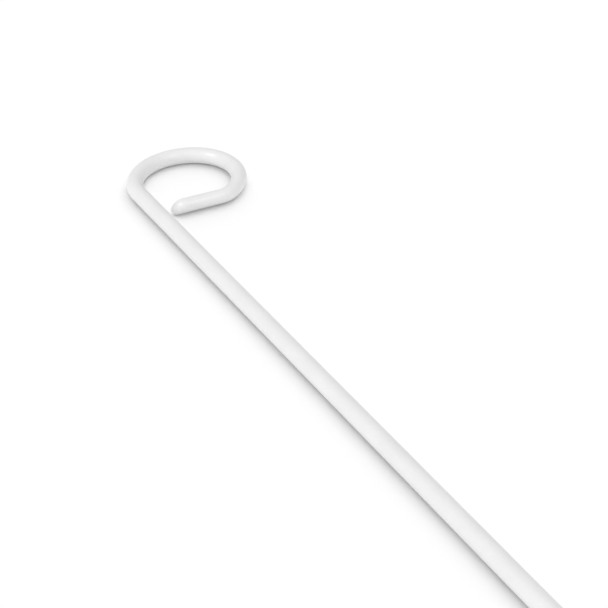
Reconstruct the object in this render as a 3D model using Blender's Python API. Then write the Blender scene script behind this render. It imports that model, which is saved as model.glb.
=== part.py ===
"""Tent stake: one round steel wire, pointed at one end and bent into a nearly closed eye at the
other, under a thick white coating that stops short of the ground point.

The stake lies flat, as it would on a table. +Z is up and z = 0 is the surface under it. +X runs
along the shaft from the point to the eye, and the origin is under the middle of the whole stake.
Lengths are in metres and angles in degrees. The eye bends clockwise, seen from above: a large
round turn, a tighter tuck, and a straight end that stops just short of the shaft.
"""

from math import cos, pi, radians, sin, tan

import bmesh
import bpy
from mathutils import Vector

# Driving dimensions
OVERALL_LENGTH = 0.300
COATED_DIAMETER = 0.0060
COATING_THICKNESS = 0.0005
CORE_GAP = 0.0001

EYE_RADIUS = 0.0191
EYE_TURN = 240.0
TUCK_RADIUS = 0.0075
TUCK_TURN = 36.0
END_LENGTH = 0.0176

# The wire draws thinner through the tuck, and keeps that share of its size to the cut end
END_SCALE = 0.88
NECK_LENGTH = 0.0216

# The end is sheared on a slant: its underside and its side towards the eye are the longest.
# Then it is rounded over like a dome.
SLANT_DOWN = 38.0
SLANT_INWARD = 22.0
END_ROUNDING = 0.0024

# Ground point: a blunt cone of bare steel, and the coating's tapered lip behind it
POINT_LENGTH = 0.0110
POINT_TIP_RADIUS = 0.0005
LIP_START = 0.0145
LIP_LENGTH = 0.0012
LIP_THICKNESS = 0.0002

# Fineness of the faceted solids
SIDES = 16
ARC_STEP = 7.5
ROUNDING_STEPS = 4
SHARP_ANGLE = 35.0

# How the two materials look: colour, roughness and metallic
STEEL_LOOK = ((0.45, 0.45, 0.46), 0.35, 1.0)
COATING_LOOK = ((0.85, 0.85, 0.84), 0.35, 0.0)

# Worked out from the above
COATED_RADIUS = COATED_DIAMETER / 2
BORE_RADIUS = COATED_RADIUS - COATING_THICKNESS
CORE_RADIUS = BORE_RADIUS - CORE_GAP
SHAFT_LENGTH = OVERALL_LENGTH - EYE_RADIUS - COATED_RADIUS
SHAFT_START = Vector((-OVERALL_LENGTH / 2, EYE_RADIUS, COATED_RADIUS))
UP = Vector((0, 0, 1))

# Each run of the wire: its length, and how far it turns right on the way
RUNS = (
    (SHAFT_LENGTH, 0.0),
    (EYE_RADIUS * radians(EYE_TURN), EYE_TURN),
    (TUCK_RADIUS * radians(TUCK_TURN), TUCK_TURN),
    (END_LENGTH, 0.0),
)
WIRE_LENGTH = sum(length for length, turn in RUNS)
STRAIGHT_END_START = WIRE_LENGTH - END_LENGTH


def heading_vector(degrees):
    """The level direction that a wire with this heading runs in, counted left from +X."""
    return Vector((cos(radians(degrees)), sin(radians(degrees)), 0))


def wire_at(distance):
    """Centre and heading of the wire at a distance along it from the point's tip."""
    centre = SHAFT_START.copy()
    heading = 0.0
    for length, turn in RUNS:
        part = min(distance, length) / length
        if turn:
            radius = length / radians(turn)
            pivot = centre + radius * heading_vector(heading - 90)
            heading -= turn * part
            centre = pivot + radius * heading_vector(heading + 90)
        else:
            centre += part * length * heading_vector(heading)
        distance -= length
        if distance <= 0:
            break
    return centre, heading


def bend_distances():
    """Distances along the wire where rings follow the bends: the ends of every arc and its steps."""
    distances = []
    passed = 0.0
    for length, turn in RUNS:
        if turn:
            steps = round(turn / ARC_STEP)
            distances += [passed + length * step / steps for step in range(steps + 1)]
        passed += length
    return sorted(set(round(distance, 9) for distance in distances))


def neck(distance):
    """The wire's share of its full size: 1 along the shaft, END_SCALE on the straight end."""
    share = (distance - (STRAIGHT_END_START - NECK_LENGTH)) / NECK_LENGTH
    share = min(max(share, 0.0), 1.0)
    return 1.0 - (1.0 - END_SCALE) * share


def domed_end(depth, full_radius):
    """Rings (distance, radius) that round the cut end over, at a depth under the outer skin."""
    radius = full_radius * END_SCALE
    rounding = END_ROUNDING - depth
    rings = []
    for step in range(ROUNDING_STEPS + 1):
        angle = pi / 2 * step / ROUNDING_STEPS
        distance = WIRE_LENGTH - depth - rounding * (1 - sin(angle))
        rings.append((distance, radius - rounding * (1 - cos(angle))))
    return rings


def add_ring(mesh, distance, radius):
    """A ring of corners round the wire. Its flat sides are at the radius, one of them below.

    Rings are square to the wire, except those of the domed end, which lean with the slanted cut.
    """
    centre, heading = wire_at(distance)
    along = heading_vector(heading)
    outward = heading_vector(heading + 90)
    corner_radius = radius / cos(pi / SIDES)
    slanted = distance > STRAIGHT_END_START + END_LENGTH / 2
    ring = []
    for corner in range(SIDES):
        angle = 2 * pi * (corner + 0.5) / SIDES
        out, up = corner_radius * cos(angle), corner_radius * sin(angle)
        place = centre + out * outward + up * UP
        if slanted:
            place -= (out * tan(radians(SLANT_INWARD)) + up * tan(radians(SLANT_DOWN))) * along
        ring.append(mesh.verts.new(place))
    return ring


def add_tube(mesh, profile):
    """Skin through the rings of a profile, a list of (distance, radius). Returns the rings."""
    rings = [add_ring(mesh, distance, radius) for distance, radius in profile]
    for first, second in zip(rings, rings[1:]):
        join_rings(mesh, first, second)
    return rings


def join_rings(mesh, first, second):
    for corner in range(SIDES):
        after = (corner + 1) % SIDES
        mesh.faces.new((first[corner], first[after], second[after], second[corner]))


def make_object(name, mesh, material):
    """Finish a bmesh as one smooth-shaded object, its faces pointing out."""
    bmesh.ops.recalc_face_normals(mesh, faces=mesh.faces)
    data = bpy.data.meshes.new(name)
    mesh.to_mesh(data)
    mesh.free()
    data.materials.append(material)
    data.shade_smooth()
    data.set_sharp_from_angle(angle=radians(SHARP_ANGLE))
    piece = bpy.data.objects.new(name, data)
    bpy.context.scene.collection.objects.link(piece)
    return piece


def make_material(name, colour, roughness, metallic):
    material = bpy.data.materials.new(name)
    material.use_nodes = True
    shader = material.node_tree.nodes["Principled BSDF"]
    shader.inputs["Base Color"].default_value = (*colour, 1)
    shader.inputs["Roughness"].default_value = roughness
    shader.inputs["Metallic"].default_value = metallic
    return material


def steel_wire(material):
    """The load-carrying wire: ground point, straight shaft, eye and cut end."""
    profile = [(0.0, POINT_TIP_RADIUS), (POINT_LENGTH, CORE_RADIUS)]
    profile += [(distance, CORE_RADIUS * neck(distance)) for distance in bend_distances()]
    profile += domed_end(COATING_THICKNESS + CORE_GAP, CORE_RADIUS)
    mesh = bmesh.new()
    rings = add_tube(mesh, profile)
    mesh.faces.new(rings[0])
    mesh.faces.new(rings[-1])
    return make_object("steel_wire", mesh, material)


def white_coating(material):
    """The dipped sleeve over the wire: open behind the ground point, closed over the cut end."""
    outside = [(LIP_START, BORE_RADIUS + LIP_THICKNESS), (LIP_START + LIP_LENGTH, COATED_RADIUS)]
    outside += [(distance, COATED_RADIUS * neck(distance)) for distance in bend_distances()]
    outside += domed_end(0, COATED_RADIUS)
    inside = [(LIP_START, BORE_RADIUS)]
    inside += [(distance, BORE_RADIUS * neck(distance)) for distance in bend_distances()]
    inside += domed_end(COATING_THICKNESS, BORE_RADIUS)
    mesh = bmesh.new()
    outer_rings = add_tube(mesh, outside)
    inner_rings = add_tube(mesh, inside)
    join_rings(mesh, outer_rings[0], inner_rings[0])
    mesh.faces.new(outer_rings[-1])
    mesh.faces.new(inner_rings[-1])
    return make_object("white_coating", mesh, material)


def main():
    for leftover in list(bpy.data.objects):
        bpy.data.objects.remove(leftover, do_unlink=True)
    steel_wire(make_material("bare_steel", *STEEL_LOOK))
    white_coating(make_material("white_coat", *COATING_LOOK))


main()
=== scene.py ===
"""Looks of the tent stake: the white dipped coating, the bare ground point, and a pale studio.

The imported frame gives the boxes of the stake's two solids. Both are rebuilt here as fine meshes on
the same centreline as the CAD solids, with the small unevenness that a dipped coating and a ground
point have. Lengths are in metres and angles in degrees.
"""
from math import cos, pi, radians, sin, tan

import bmesh
import bpy
from mathutils import Matrix, Vector, noise


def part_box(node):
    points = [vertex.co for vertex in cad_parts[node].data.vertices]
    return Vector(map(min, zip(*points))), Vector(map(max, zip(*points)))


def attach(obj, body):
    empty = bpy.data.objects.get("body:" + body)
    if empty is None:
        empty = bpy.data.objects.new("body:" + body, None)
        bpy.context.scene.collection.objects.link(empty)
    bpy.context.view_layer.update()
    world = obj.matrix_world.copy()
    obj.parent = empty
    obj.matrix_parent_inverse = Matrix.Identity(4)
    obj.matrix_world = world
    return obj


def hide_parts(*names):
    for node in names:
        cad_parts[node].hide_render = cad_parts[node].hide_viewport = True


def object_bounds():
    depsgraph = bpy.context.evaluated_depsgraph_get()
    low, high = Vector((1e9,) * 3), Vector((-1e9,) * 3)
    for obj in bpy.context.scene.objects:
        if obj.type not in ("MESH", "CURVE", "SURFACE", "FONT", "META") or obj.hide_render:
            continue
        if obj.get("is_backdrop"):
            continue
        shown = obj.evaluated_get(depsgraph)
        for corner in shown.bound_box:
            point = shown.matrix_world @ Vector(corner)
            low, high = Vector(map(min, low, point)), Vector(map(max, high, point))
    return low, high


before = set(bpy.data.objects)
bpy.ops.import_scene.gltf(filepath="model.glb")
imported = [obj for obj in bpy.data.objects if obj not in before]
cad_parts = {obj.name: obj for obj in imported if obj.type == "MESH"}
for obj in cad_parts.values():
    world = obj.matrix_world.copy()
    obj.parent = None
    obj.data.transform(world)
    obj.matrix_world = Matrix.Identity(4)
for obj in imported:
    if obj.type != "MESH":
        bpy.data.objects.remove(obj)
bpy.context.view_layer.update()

# ---------------------------------------------------------------- sizes, from the frame
coat_low, coat_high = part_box("white_coating")
steel_low, steel_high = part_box("steel_wire")
COATED_RADIUS = (coat_high.z - coat_low.z) / 2
CORE_RADIUS = (steel_high.z - steel_low.z) / 2
EYE_RADIUS = (coat_high.y - coat_low.y) / 2 - COATED_RADIUS
EYE_CENTRE_X = coat_high.x - COATED_RADIUS - EYE_RADIUS
SHAFT_LENGTH = EYE_CENTRE_X - steel_low.x
SHAFT_START = Vector((steel_low.x, coat_high.y - COATED_RADIUS, COATED_RADIUS + coat_low.z))
LIP_START = coat_low.x - steel_low.x

# ---------------------------------------------------------------- the bends, as in the CAD model
EYE_TURN = 240.0
TUCK_RADIUS = 0.0075
TUCK_TURN = 36.0
END_LENGTH = 0.0176
END_SCALE = 0.88
NECK_LENGTH = 0.0216
SLANT_DOWN = 38.0
SLANT_INWARD = 22.0
END_ROUNDING = 0.0024
POINT_LENGTH = 0.0110

RUNS = (
    (SHAFT_LENGTH, 0.0),
    (EYE_RADIUS * radians(EYE_TURN), EYE_TURN),
    (TUCK_RADIUS * radians(TUCK_TURN), TUCK_TURN),
    (END_LENGTH, 0.0),
)
WIRE_LENGTH = sum(length for length, turn in RUNS)
STRAIGHT_END_START = WIRE_LENGTH - END_LENGTH

# ---------------------------------------------------------------- fineness
SIDES = 64
SHAFT_STEP = 0.0012
BEND_STEP = 0.0007
CONE_STEP = 0.0002
DOME_STEPS = 20
LIP_STEPS = 10
TIP_STEPS = 6

# ---------------------------------------------------------------- the coating
# Its skin sinks in by up to the wave. Its lip is rolled over, and its edge runs uneven by the
# wobble, which dies out over LIP_FADE. WOBBLE_SCALE sets how quickly the edge goes in and out
# round the wire, and WOBBLE_PATTERN picks one pattern of many.
COATING_GAP = 0.0001
COATING_THICKNESS = COATED_RADIUS - CORE_RADIUS - COATING_GAP
COATING_WAVE = 0.00003
WAVE_SIZE = 0.012
LIP_LENGTH = 0.0014
LIP_THICKNESS = 0.00012
LIP_WOBBLE = 0.00035
LIP_FADE = 6 * LIP_LENGTH
WOBBLE_SCALE = 1.4
WOBBLE_PATTERN = 7.3
SCUFFED_LENGTH = 0.012

# ---------------------------------------------------------------- the ground point
# A round tip, and a shoulder that is softened over the last twelfth of the cone
TIP_RADIUS = 0.00035
SHOULDER_DEPTH = 0.00006
SHOULDER_START = 11 / 12
SHOULDER_GAP = 0.0003

# ---------------------------------------------------------------- the view
VIEW_TARGET = Vector((0.0375, 0.0016, 0.0))
VIEW_AZIMUTH = -117.66
VIEW_ELEVATION = 34.0
VIEW_ROLL = -3.0
VIEW_DISTANCE = 0.5016
LENS = 91.36
SENSOR = 36.0
NEAREST_SEEN = 0.01

# ---------------------------------------------------------------- the studio
FLOOR_HALF_WIDTH = 6.0
FLOOR_COLOUR = (0.9, 0.9, 0.9)
ROOM_STRENGTH = 0.60
LIGHT_DISTANCE = 1.2

# Each light: its name, azimuth, elevation, spread and strength. Azimuths count clockwise from the
# far side, seen from above, and the spread is how wide the light looks from the stake.
# One set makes the white floor and the stake's shadow on it, and the other makes the stake's own
# even tone and its two small highlights.
FLOOR_LIGHTS = (
    ("back_light", 0, 40, 80, 0.38),
    ("top_light", 90, 75, 80, 0.28),
)
STAKE_LIGHTS = (
    ("front_fill", -145, 5, 110, 0.40),
    ("high_fill", 20, 60, 120, 0.11),
    ("right_fill", 130, 4, 100, 0.15),
    ("left_lamp", -103, 49, 4, 0.24),
    ("right_lamp", 141, 49, 4, 0.12),
)


def heading_vector(degrees):
    """The level direction that a wire with this heading runs in, counted left from +X."""
    return Vector((cos(radians(degrees)), sin(radians(degrees)), 0))


def wire_at(distance):
    """Centre and heading of the wire at a distance along it from the point's tip."""
    centre = SHAFT_START.copy()
    heading = 0.0
    for length, turn in RUNS:
        part = min(distance, length) / length
        if turn:
            radius = length / radians(turn)
            pivot = centre + radius * heading_vector(heading - 90)
            heading -= turn * part
            centre = pivot + radius * heading_vector(heading + 90)
        else:
            centre += part * length * heading_vector(heading)
        distance -= length
        if distance <= 0:
            break
    return centre, heading


def smooth(share):
    """A share from 0 to 1, eased in and out."""
    share = min(max(share, 0.0), 1.0)
    return share * share * (3 - 2 * share)


def neck(distance):
    """The wire's share of its full size: 1 along the shaft, END_SCALE on the straight end."""
    share = (distance - (STRAIGHT_END_START - NECK_LENGTH)) / NECK_LENGTH
    return 1.0 - (1.0 - END_SCALE) * min(max(share, 0.0), 1.0)


def spaced(start, end, step):
    """Even distances from start up to, and not including, end."""
    count = max(1, round((end - start) / step))
    return [start + (end - start) * index / count for index in range(count)]


def run_distances(start):
    """Distances of the rings from start to just short of the domed end, closer round the bends."""
    stop = WIRE_LENGTH - END_ROUNDING - 2 * SHAFT_STEP
    distances = spaced(start, SHAFT_LENGTH, SHAFT_STEP)
    distances += spaced(SHAFT_LENGTH, STRAIGHT_END_START, BEND_STEP)
    distances += spaced(STRAIGHT_END_START, stop, SHAFT_STEP)
    return distances


def dome(depth, full_radius):
    """Rings (distance, radius) that round the cut end over, at a depth under the outer skin."""
    radius = full_radius * END_SCALE
    rounding = END_ROUNDING - depth
    rings = []
    for step in range(DOME_STEPS + 1):
        angle = pi / 2 * step / DOME_STEPS
        distance = WIRE_LENGTH - depth - rounding * (1 - sin(angle))
        rings.append((distance, radius - rounding * (1 - cos(angle))))
    return rings


def add_ring(mesh, distance, radius, wobble=0.0, wave=0.0):
    """A ring of corners round the wire; those of the domed end lean with the slanted cut.

    Wobble moves corners along the wire, for an uneven edge, and wave sinks them into it.
    """
    centre, heading = wire_at(distance)
    along = heading_vector(heading)
    outward = heading_vector(heading + 90)
    up = Vector((0, 0, 1))
    lean = smooth((distance - (WIRE_LENGTH - END_LENGTH / 2)) / (END_LENGTH / 2 - END_ROUNDING))
    ring = []
    for corner in range(SIDES):
        angle = 2 * pi * corner / SIDES
        normal = cos(angle) * outward + sin(angle) * up
        place = centre + radius * normal
        if wave:
            place -= wave * (0.5 + 0.5 * noise.noise(place / WAVE_SIZE)) * normal
        if wobble:
            sample = WOBBLE_SCALE * Vector((cos(angle), sin(angle), WOBBLE_PATTERN))
            place += wobble * noise.noise(sample) * along
        shift = tan(radians(SLANT_INWARD)) * cos(angle) + tan(radians(SLANT_DOWN)) * sin(angle)
        place -= lean * radius * shift * along
        ring.append(mesh.verts.new(place))
    return ring


def join_rings(mesh, first, second):
    for corner in range(SIDES):
        after = (corner + 1) % SIDES
        mesh.faces.new((first[corner], first[after], second[after], second[corner]))


def close_ring(mesh, ring):
    """A cap of triangles round a middle corner."""
    middle = mesh.verts.new(sum((corner.co for corner in ring), Vector()) / SIDES)
    for corner in range(SIDES):
        mesh.faces.new((ring[corner], ring[(corner + 1) % SIDES], middle))


def make_piece(name, mesh, material, node):
    """Turn a bmesh into a smooth piece that rides on the root and stands for a CAD node."""
    bmesh.ops.recalc_face_normals(mesh, faces=mesh.faces)
    data = bpy.data.meshes.new(name)
    mesh.to_mesh(data)
    mesh.free()
    data.materials.append(material)
    data.shade_smooth()
    piece = bpy.data.objects.new(name, data)
    bpy.context.scene.collection.objects.link(piece)
    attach(piece, "root")
    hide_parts(node)
    return piece


# ---------------------------------------------------------------- pieces
def coating_piece(material):
    """The dipped sleeve: an uneven lip behind the point, a full skin, and a domed closed end."""
    mesh = bmesh.new()
    bore = COATED_RADIUS - COATING_THICKNESS
    outer = []
    for step in range(LIP_STEPS):
        angle = pi / 2 * step / LIP_STEPS
        radius = bore + LIP_THICKNESS + (COATED_RADIUS - bore - LIP_THICKNESS) * sin(angle)
        distance = LIP_START + LIP_LENGTH * (1 - cos(angle))
        outer.append(add_ring(mesh, distance, radius, wobble=LIP_WOBBLE))
    lip_end = LIP_START + LIP_LENGTH
    for distance in run_distances(lip_end):
        fade = smooth((distance - lip_end) / LIP_FADE)
        radius = COATED_RADIUS * neck(distance)
        outer.append(add_ring(mesh, distance, radius, LIP_WOBBLE * (1 - fade), COATING_WAVE * fade))
    outer += [add_ring(mesh, distance, radius) for distance, radius in dome(0, COATED_RADIUS)]
    inner = [add_ring(mesh, LIP_START, bore, wobble=LIP_WOBBLE)]
    for distance in run_distances(lip_end):
        inner.append(add_ring(mesh, distance, bore * neck(distance)))
    inner_dome = dome(COATING_THICKNESS, bore)
    inner += [add_ring(mesh, distance, radius) for distance, radius in inner_dome]
    for rings in (outer, inner):
        for first, second in zip(rings, rings[1:]):
            join_rings(mesh, first, second)
        close_ring(mesh, rings[-1])
    join_rings(mesh, outer[0], inner[0])
    return make_piece("dipped_coating", mesh, material, "white_coating")


def steel_piece(material):
    """The wire: a ground cone with a tiny round tip and a softened shoulder, then the full run."""
    mesh = bmesh.new()
    rings = []
    for step in range(1, TIP_STEPS + 1):
        angle = pi / 2 * step / TIP_STEPS
        rings.append(add_ring(mesh, TIP_RADIUS * (1 - cos(angle)), TIP_RADIUS * sin(angle)))
    for distance in spaced(TIP_RADIUS, POINT_LENGTH, CONE_STEP)[1:]:
        share = (distance - TIP_RADIUS) / (POINT_LENGTH - TIP_RADIUS)
        straight = TIP_RADIUS + (CORE_RADIUS - TIP_RADIUS) * share
        softened = smooth((share - SHOULDER_START) / (1 - SHOULDER_START))
        rings.append(add_ring(mesh, distance, straight - SHOULDER_DEPTH * softened))
    for distance in run_distances(POINT_LENGTH + SHOULDER_GAP):
        rings.append(add_ring(mesh, distance, CORE_RADIUS * neck(distance)))
    depth = COATED_RADIUS - CORE_RADIUS
    rings += [add_ring(mesh, distance, radius) for distance, radius in dome(depth, CORE_RADIUS)]
    for first, second in zip(rings, rings[1:]):
        join_rings(mesh, first, second)
    close_ring(mesh, rings[0])
    close_ring(mesh, rings[-1])
    return make_piece("bent_steel_wire", mesh, material, "steel_wire")


# ---------------------------------------------------------------- materials
def socket(sockets, identifier):
    """A Mix node's sockets share their names, so each is found by its identifier."""
    return next(found for found in sockets if found.identifier == identifier)


class Finish:
    """A Principled material whose colour, roughness and bump are built from small steps."""

    def __init__(self, name, colour, roughness, metallic):
        self.material = bpy.data.materials.new(name)
        self.material.use_nodes = True
        self.tree = self.material.node_tree
        self.shader = self.tree.nodes["Principled BSDF"]
        self.shader.inputs["Base Color"].default_value = (*colour, 1)
        self.shader.inputs["Roughness"].default_value = roughness
        self.shader.inputs["Metallic"].default_value = metallic
        self.place = self.tree.nodes.new("ShaderNodeTexCoord").outputs["Object"]

    def add(self, kind, **settings):
        node = self.tree.nodes.new("ShaderNode" + kind)
        for name, value in settings.items():
            setattr(node, name, value)
        return node

    def link(self, output, target):
        self.tree.links.new(output, target)

    def stretched(self, scale):
        """Place in the object, multiplied along X, Y and Z, for noise that runs one way."""
        node = self.add("Mapping")
        node.inputs["Scale"].default_value = scale
        self.link(self.place, node.inputs["Vector"])
        return node.outputs["Vector"]

    def grain(self, size, detail, place=None):
        """Noise from 0 to 1 whose blobs are about this size."""
        node = self.add("TexNoise")
        node.inputs["Scale"].default_value = 1 / size
        node.inputs["Detail"].default_value = detail
        self.link(place or self.place, node.inputs["Vector"])
        return node.outputs["Fac"]

    def spread(self, value, low, high, from_low=0.3, from_high=0.7):
        """The value moved from one range to another, and held there.

        Noise mostly runs from 0.3 to 0.7, so that is the range it is taken to come from.
        """
        node = self.add("MapRange")
        node.inputs["From Min"].default_value = from_low
        node.inputs["From Max"].default_value = from_high
        node.inputs["To Min"].default_value = low
        node.inputs["To Max"].default_value = high
        self.link(value, node.inputs["Value"])
        return node.outputs["Result"]

    def along_shaft(self, start, end):
        """0 at the first place along X, 1 at the second, and held at those past them."""
        split = self.add("SeparateXYZ")
        self.link(self.place, split.inputs["Vector"])
        return self.spread(split.outputs["X"], 0.0, 1.0, start, end)

    def times(self, first, second):
        node = self.add("Math", operation="MULTIPLY")
        self.link(first, node.inputs[0])
        self.link(second, node.inputs[1])
        return node.outputs["Value"]

    def mix(self, share, first, second):
        """A colour between two, each a plain colour or another step's output."""
        node = self.add("Mix", data_type="RGBA")
        self.link(share, socket(node.inputs, "Factor_Float"))
        for value, identifier in ((first, "A_Color"), (second, "B_Color")):
            target = socket(node.inputs, identifier)
            if isinstance(value, tuple):
                target.default_value = (*value, 1)
            else:
                self.link(value, target)
        return socket(node.outputs, "Result_Color")

    def blend(self, share, first, second):
        """A number between two other steps' outputs."""
        node = self.add("Mix", data_type="FLOAT")
        self.link(share, socket(node.inputs, "Factor_Float"))
        self.link(first, socket(node.inputs, "A_Float"))
        self.link(second, socket(node.inputs, "B_Float"))
        return socket(node.outputs, "Result_Float")

    def bump(self, height, depth, strength):
        node = self.add("Bump")
        node.inputs["Strength"].default_value = strength
        node.inputs["Distance"].default_value = depth
        self.link(height, node.inputs["Height"])
        return node.outputs["Normal"]

    def finish(self, colour, roughness, normal):
        self.link(colour, self.shader.inputs["Base Color"])
        self.link(roughness, self.shader.inputs["Roughness"])
        self.link(normal, self.shader.inputs["Normal"])
        return self.material


def coating_material():
    """Satin white dip coating: faint clouding, an orange-peel skin, and a scuffed, grey lip."""
    white = (0.73, 0.73, 0.73)
    cloud_dark, cloud_light = (0.715, 0.715, 0.715), (0.745, 0.745, 0.745)
    speck = (0.69, 0.69, 0.69)
    scuff = (0.46, 0.45, 0.435)

    coat = Finish("satin_white_coating", white, 0.31, 0.0)
    clouds = coat.grain(0.009, 3.0)
    mottle = coat.grain(0.0007, 2.0)
    colour = coat.mix(coat.spread(clouds, 0, 1), cloud_dark, cloud_light)
    colour = coat.mix(coat.spread(mottle, 0, 0.4), colour, speck)
    lip_x = coat_low.x
    near_lip = coat.along_shaft(lip_x + SCUFFED_LENGTH, lip_x)
    drawn_out = coat.stretched((0.35, 1, 1))
    scuffs = coat.spread(coat.grain(0.0016, 4.0, drawn_out), 0, 1, 0.42, 0.7)
    colour = coat.mix(coat.times(near_lip, scuffs), colour, scuff)
    roughness = coat.spread(coat.grain(0.004, 3.0), 0.29, 0.36)
    peel = coat.bump(coat.grain(0.0024, 0.0), 0.00004, 0.5)
    return coat.finish(colour, roughness, peel)


def steel_material():
    """Bare steel: ground rings round the point, drawn lines behind it, dull where it was dipped."""
    steel_grey = (0.47, 0.47, 0.48)
    groove, ridge = (0.40, 0.40, 0.41), (0.56, 0.56, 0.57)
    dull = (0.20, 0.19, 0.18)
    shoulder_x = steel_low.x + POINT_LENGTH
    changeover = 0.0004

    steel = Finish("ground_steel", steel_grey, 0.34, 1.0)
    behind_point = steel.along_shaft(shoulder_x - changeover, shoulder_x + changeover)
    rings = steel.grain(0.00022, 3.0, steel.stretched((1, 0.12, 0.12)))
    lines = steel.grain(0.00018, 3.0, steel.stretched((0.03, 1, 1)))
    marks = steel.blend(behind_point, rings, lines)
    stain = steel.grain(0.0022, 4.0)
    bright = steel.mix(steel.spread(marks, 0, 1), groove, ridge)
    dulled = steel.times(behind_point, steel.spread(stain, 0.15, 0.85))
    colour = steel.mix(dulled, bright, dull)
    roughness = steel.spread(stain, 0.28, 0.44)
    return steel.finish(colour, roughness, steel.bump(marks, 0.00002, 0.6))


# ---------------------------------------------------------------- studio
def make_camera():
    """The camera looks along its azimuth and down by its elevation, rolled a little."""
    azimuth, elevation = radians(VIEW_AZIMUTH), radians(VIEW_ELEVATION)
    back = Vector((sin(azimuth) * cos(elevation), -cos(azimuth) * cos(elevation), sin(elevation)))
    data = bpy.data.cameras.new("camera")
    data.lens = LENS
    data.sensor_width = SENSOR
    data.clip_start = NEAREST_SEEN
    camera = bpy.data.objects.new("camera", data)
    bpy.context.scene.collection.objects.link(camera)
    roll = Matrix.Rotation(radians(VIEW_ROLL), 3, "Z")
    turn = (-back).to_track_quat("-Z", "Y").to_matrix() @ roll
    camera.matrix_world = Matrix.Translation(VIEW_TARGET + VIEW_DISTANCE * back) @ turn.to_4x4()
    bpy.context.scene.camera = camera


def make_floor(height):
    """A plain pale floor, so wide that only the lowest views look past it."""
    mesh = bmesh.new()
    bmesh.ops.create_grid(mesh, x_segments=1, y_segments=1, size=FLOOR_HALF_WIDTH)
    data = bpy.data.meshes.new("floor")
    mesh.to_mesh(data)
    mesh.free()
    data.materials.append(Finish("pale_floor", FLOOR_COLOUR, 0.9, 0.0).material)
    floor = bpy.data.objects.new("floor", data)
    floor.location.z = height
    bpy.context.scene.collection.objects.link(floor)
    floor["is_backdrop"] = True
    return floor


def make_world(strength):
    """An even white room, which the camera itself sees as plain white behind the floor."""
    world = bpy.data.worlds.new("studio")
    world.use_nodes = True
    tree = world.node_tree
    room = tree.nodes["Background"]
    room.inputs["Color"].default_value = (1, 1, 1, 1)
    room.inputs["Strength"].default_value = strength
    backdrop = tree.nodes.new("ShaderNodeBackground")
    backdrop.inputs["Color"].default_value = (1, 1, 1, 1)
    seen = tree.nodes.new("ShaderNodeLightPath")
    choice = tree.nodes.new("ShaderNodeMixShader")
    tree.links.new(seen.outputs["Is Camera Ray"], choice.inputs[0])
    tree.links.new(room.outputs[0], choice.inputs[1])
    tree.links.new(backdrop.outputs[0], choice.inputs[2])
    tree.links.new(choice.outputs[0], tree.nodes["World Output"].inputs["Surface"])
    bpy.context.scene.world = world


def make_light(name, azimuth, elevation, spread, strength, shines_on, blocked_by=None):
    """A far, soft light that shines on one collection only, and is blocked by one or by all."""
    away = radians(VIEW_AZIMUTH - azimuth)
    level = cos(radians(elevation))
    towards = Vector((-sin(away) * level, cos(away) * level, sin(radians(elevation))))
    data = bpy.data.lights.new(name, "SUN")
    data.angle = radians(spread)
    data.energy = pi * strength
    light = bpy.data.objects.new(name, data)
    light.location = VIEW_TARGET + LIGHT_DISTANCE * towards
    light.rotation_mode = "QUATERNION"
    light.rotation_quaternion = (-towards).to_track_quat("-Z", "Y")
    bpy.context.scene.collection.objects.link(light)
    light.light_linking.receiver_collection = shines_on
    light.light_linking.blocker_collection = blocked_by


make_camera()
stake = bpy.data.collections.new("stake")
stake.objects.link(coating_piece(coating_material()))
stake.objects.link(steel_piece(steel_material()))
stage = bpy.data.collections.new("stage")
stage.objects.link(make_floor(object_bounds()[0].z))
make_world(ROOM_STRENGTH)
for light in FLOOR_LIGHTS:
    make_light(*light, stage)
for light in STAKE_LIGHTS:
    make_light(*light, stake, stake)
bpy.context.scene.view_settings.view_transform = "Standard"
